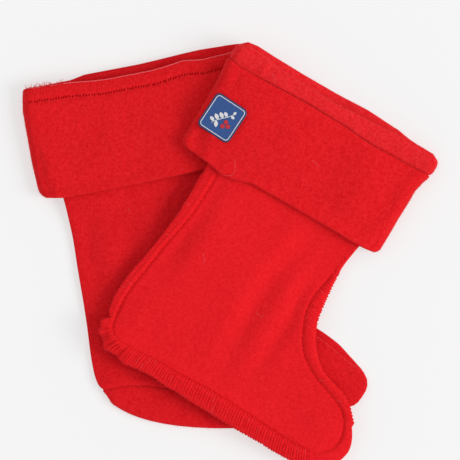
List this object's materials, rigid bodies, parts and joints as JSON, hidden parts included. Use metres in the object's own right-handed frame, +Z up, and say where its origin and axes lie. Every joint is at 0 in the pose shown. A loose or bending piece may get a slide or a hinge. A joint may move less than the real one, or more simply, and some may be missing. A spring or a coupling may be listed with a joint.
{
  "type": "pair of boot liners",
  "caption": "Pair of red fleece boot liners with turned-down cuffs, lying flat with one across the other; the upper one has a rolled top, outward overlocked seams and a small badge.",
  "frame": {"origin": "centre of the underside of the pair as laid flat", "axes": "+Z up out of the surface the pair lies on, +Y towards the mouths of the liners"},
  "size_m": [0.2696, 0.2772, 0.0283],
  "materials": {
    "red_fleece": "brushed pile",
    "badge": "moulded, satin"
  },
  "bodies": {
    "root": {"plain_side_down": "red_fleece", "plain_side_up": "red_fleece", "plain_sole": "red_fleece", "plain_cuff": "red_fleece", "badged_side_down": "red_fleece", "badged_side_up": "red_fleece", "badged_sole": "red_fleece", "badged_cuff": "red_fleece", "badged_roll": "red_fleece", "badge": "badge"}
  },
  "joints": []
}
